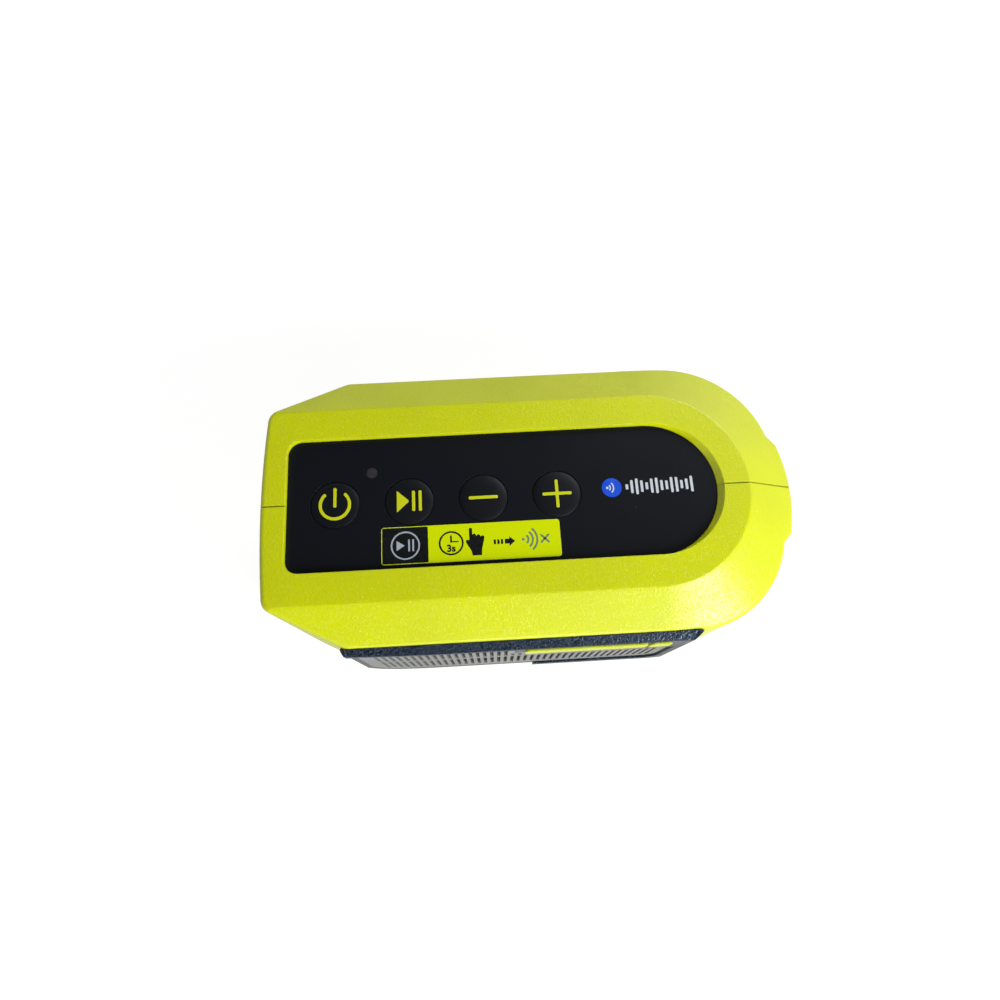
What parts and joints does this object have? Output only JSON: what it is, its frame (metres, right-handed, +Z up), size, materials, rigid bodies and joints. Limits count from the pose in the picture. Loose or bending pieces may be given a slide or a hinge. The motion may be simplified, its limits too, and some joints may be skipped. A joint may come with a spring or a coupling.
{
  "type": "jobsite_bluetooth_speaker",
  "caption": "Compact jobsite speaker head with a keyed top panel and a slotted front grille, made to stand on a slide-in tool battery",
  "frame": {"origin": "Middle of the underside's bounding rectangle, on the surface that the housing stands on", "axes": "+X runs to the right along the row of keys, +Y to the back away from the grille, +Z up"},
  "size_m": [0.1474, 0.081, 0.068],
  "materials": {
    "lime_housing": "moulded plastic with a fine grain, lime",
    "lime_trim": "smooth moulded plastic, lime",
    "dark_bezel": "grained plastic, charcoal",
    "grille_grey": "satin grey paint",
    "dust_cloth": "thin black acoustic cloth",
    "panel_black": "satin black plastic",
    "key_black": "satin black keys",
    "lens_smoke": "smoked light pipe",
    "sticker": "printed film, lime and black",
    "switch_plastic": "switch bodies, black plastic",
    "circuit_board": "green lacquered glass-fibre board",
    "screw_steel": "zinc-plated steel",
    "adhesive": "foam adhesive ring",
    "driver_steel": "zinc-plated steel",
    "ferrite": "dark ferrite",
    "copper_winding": "enamelled copper wire",
    "former": "heat-proof film tube",
    "cone_paper": "black paper pulp",
    "soft_rubber": "soft black rubber",
    "spider_cloth": "impregnated cloth",
    "connector_white": "ivory connector plastic",
    "chip_black": "black moulded resin",
    "shield_can": "tinned shield",
    "heat_sink": "extruded aluminium",
    "capacitor_sleeve": "sleeved aluminium cans",
    "status_light": "light chip",
    "ribbon": "white flat cable",
    "red_lead": "red insulated lead",
    "black_lead": "black insulated leads",
    "socket_black": "black structural plastic",
    "contact_metal": "tin-brass contact blades"
  },
  "bodies": {
    "housing": {"accent_bars": "lime_trim", "amplifier_chip": "chip_black", "back_plate": "driver_steel", "battery_socket": "socket_black", "bezel_screws": "screw_steel", "capacitors": "capacitor_sleeve", "cone_surround": "soft_rubber", "contact_blades": "contact_metal", "control_panel": "panel_black", "driver_frame": "driver_steel", "driver_gasket": "soft_rubber", "driver_leads": "black_lead", "driver_screws": "screw_steel", "dust_cloth": "dust_cloth", "front_bezel": "dark_bezel", "front_shell": "lime_housing", "heat_sink": "heat_sink", "housing_screws": "screw_steel", "instruction_label": "sticker", "key_board": "circuit_board", "key_board_screws": "screw_steel", "key_switches": "switch_plastic", "lead_connectors": "connector_white", "main_board": "circuit_board", "main_board_screws": "screw_steel", "negative_lead": "black_lead", "panel_adhesive": "adhesive", "positive_lead": "red_lead", "power_inductor": "chip_black", "radio_module": "shield_can", "rear_shell": "lime_housing", "ribbon_cable": "ribbon", "ribbon_connectors": "connector_white", "ring_magnet": "ferrite", "speaker_grille": "grille_grey", "spider": "spider_cloth", "status_lens": "lens_smoke", "status_light": "status_light", "terminal_block": "chip_black", "terminal_strip": "connector_white", "top_plate": "driver_steel"},
    "power_key": {"power_button": "key_black", "power_symbol": "lime_trim", "power_plunger": "switch_plastic"},
    "play_key": {"play_button": "key_black", "play_symbol": "lime_trim", "play_plunger": "switch_plastic"},
    "volume_down_key": {"volume_down_button": "key_black", "volume_down_symbol": "lime_trim", "volume_down_plunger": "switch_plastic"},
    "volume_up_key": {"volume_up_button": "key_black", "volume_up_symbol": "lime_trim", "volume_up_plunger": "switch_plastic"},
    "cone_assembly": {"cone": "cone_paper", "dust_cap": "cone_paper", "coil_former": "former", "coil_winding": "copper_winding"}
  },
  "joints": [
    {"name": "power_press", "type": "slide", "parent": "housing", "child": "power_key", "axis": [0, 0, -1], "range_m": [0, 0.0005], "stiffness_N_per_m": 1500},
    {"name": "play_press", "type": "slide", "parent": "housing", "child": "play_key", "axis": [0, 0, -1], "range_m": [0, 0.0005], "stiffness_N_per_m": 1500},
    {"name": "volume_down_press", "type": "slide", "parent": "housing", "child": "volume_down_key", "axis": [0, 0, -1], "range_m": [0, 0.0005], "stiffness_N_per_m": 1500},
    {"name": "volume_up_press", "type": "slide", "parent": "housing", "child": "volume_up_key", "axis": [0, 0, -1], "range_m": [0, 0.0005], "stiffness_N_per_m": 1500},
    {"name": "cone_stroke", "type": "slide", "parent": "housing", "child": "cone_assembly", "axis": [0, -1, 0], "range_m": [-0.0012, 0.0012], "stiffness_N_per_m": 1000, "deforming": ["cone_surround", "spider"]}
  ]
}
